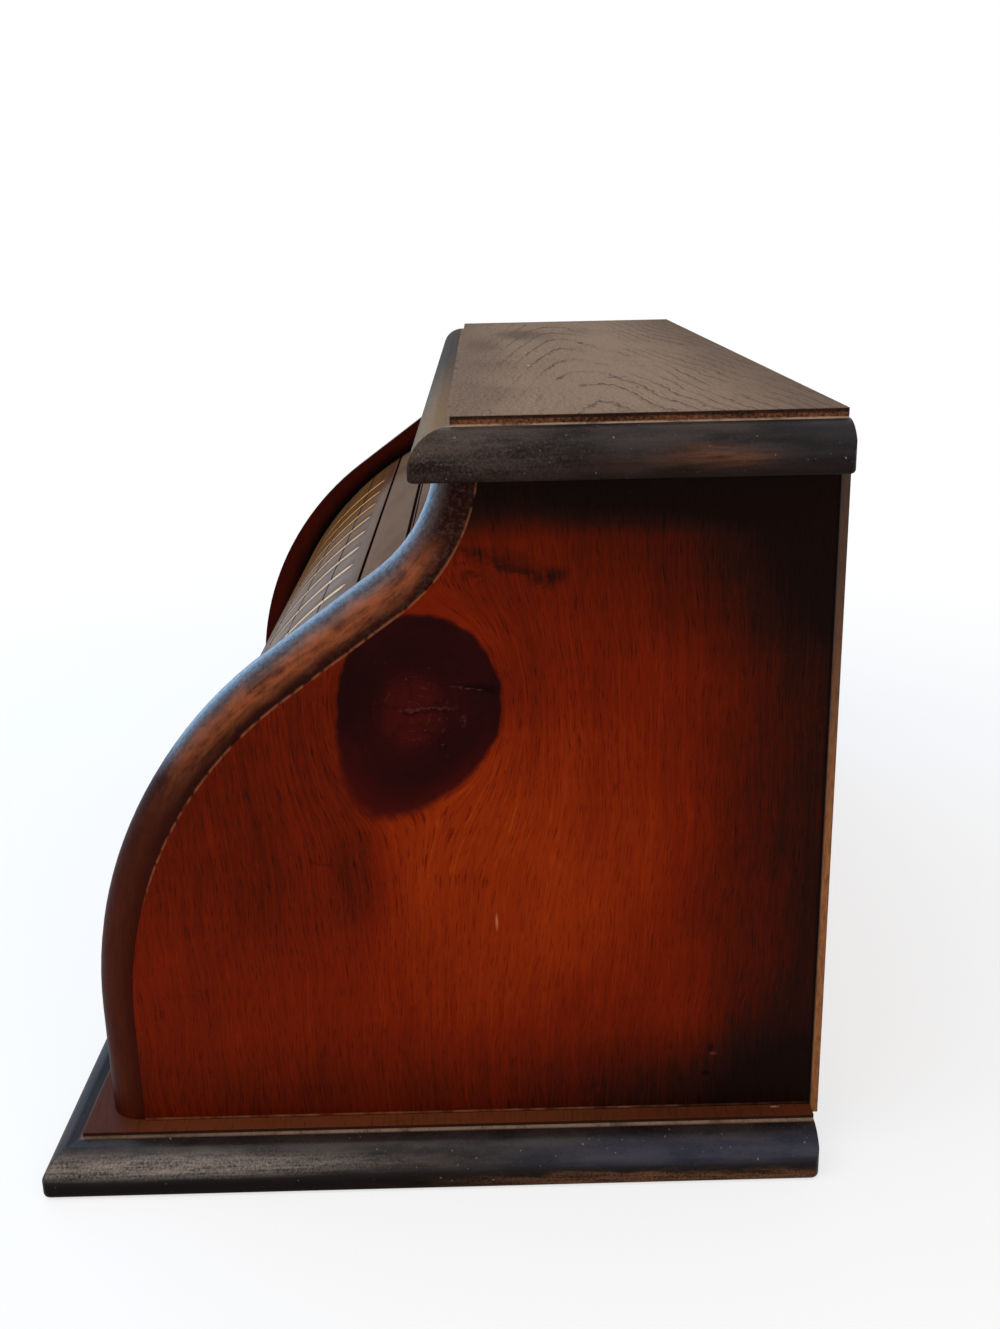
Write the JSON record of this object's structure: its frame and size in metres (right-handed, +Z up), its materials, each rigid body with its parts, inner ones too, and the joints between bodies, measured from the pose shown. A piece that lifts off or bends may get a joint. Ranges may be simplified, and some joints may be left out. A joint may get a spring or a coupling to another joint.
{
  "type": "tambour lid box",
  "caption": "Wooden box for papers and keepsakes with S-curved ends, a moulded base and cap, and a tambour lid that rolls up and back.",
  "frame": {"origin": "middle of the base board's underside", "axes": "+X along the box's length, -Y towards the front where the tambour closes, +Z up"},
  "size_m": [0.4834, 0.283, 0.2744],
  "materials": {
    "moulded_boards": "dark toned satin lacquer, dusty",
    "end_panels": "red-brown toned gloss lacquer",
    "inside_wood": "thin matt lacquer",
    "plywood": "bare plywood",
    "tambour_wood": "golden brown satin lacquer",
    "knob_wood": "satin lacquer",
    "canvas": "plain weave cotton",
    "screw_steel": "zinc plated",
    "nail_steel": "plain steel"
  },
  "bodies": {
    "box": {"base_board": "moulded_boards", "top_cap": "moulded_boards", "side_panel_right": "end_panels", "side_panel_left": "end_panels", "track_board_right": "inside_wood", "track_board_left": "inside_wood", "back_panel": "plywood", "inner_back": "inside_wood", "header_rail": "inside_wood", "cap_cleat_right": "inside_wood", "cap_cleat_left": "inside_wood", "base_screws": "screw_steel", "cleat_screws": "screw_steel", "track_screws": "screw_steel", "back_nails": "nail_steel"},
    "tambour": {"lift_rail": "tambour_wood", "knob": "knob_wood", "knob_screw": "screw_steel", "canvas_main": "canvas", "slat_01": "tambour_wood", "slat_02": "tambour_wood", "slat_03": "tambour_wood", "slat_04": "tambour_wood", "slat_05": "tambour_wood", "slat_06": "tambour_wood"},
    "tambour_link_1": {"slat_07": "tambour_wood", "canvas_07": "canvas"},
    "tambour_link_2": {"slat_08": "tambour_wood", "canvas_08": "canvas"},
    "tambour_link_3": {"slat_09": "tambour_wood", "canvas_09": "canvas"},
    "tambour_link_4": {"slat_10": "tambour_wood", "slat_11": "tambour_wood", "canvas_10": "canvas"}
  },
  "joints": [
    {"name": "tambour_roll", "type": "hinge", "parent": "box", "child": "tambour", "pos_m": [0, 0.0609, 0.053], "axis": [-1, 0, 0], "range_deg": [0, 65]},
    {"name": "link_1_bend", "type": "hinge", "parent": "tambour", "child": "tambour_link_1", "pos_m": [0, -0.0649, 0.15024], "axis": [-1, 0, 0], "range_deg": [0, 26.5]},
    {"name": "link_2_bend", "type": "hinge", "parent": "tambour_link_1", "child": "tambour_link_2", "pos_m": [0, -0.05213, 0.16483], "axis": [-1, 0, 0], "range_deg": [0, 13.5]},
    {"name": "link_3_bend", "type": "hinge", "parent": "tambour_link_2", "child": "tambour_link_3", "pos_m": [0, -0.03767, 0.17776], "axis": [-1, 0, 0], "range_deg": [0, 8.3]},
    {"name": "link_4_bend", "type": "hinge", "parent": "tambour_link_3", "child": "tambour_link_4", "pos_m": [0, -0.02176, 0.18883], "axis": [-1, 0, 0], "range_deg": [0, 4.4]}
  ],
  "couplings": [
    {"joint": "link_1_bend", "follows": "tambour_roll", "ratio": 0.4},
    {"joint": "link_2_bend", "follows": "tambour_roll", "ratio": 0.2},
    {"joint": "link_3_bend", "follows": "tambour_roll", "ratio": 0.12},
    {"joint": "link_4_bend", "follows": "tambour_roll", "ratio": 0.06}
  ]
}
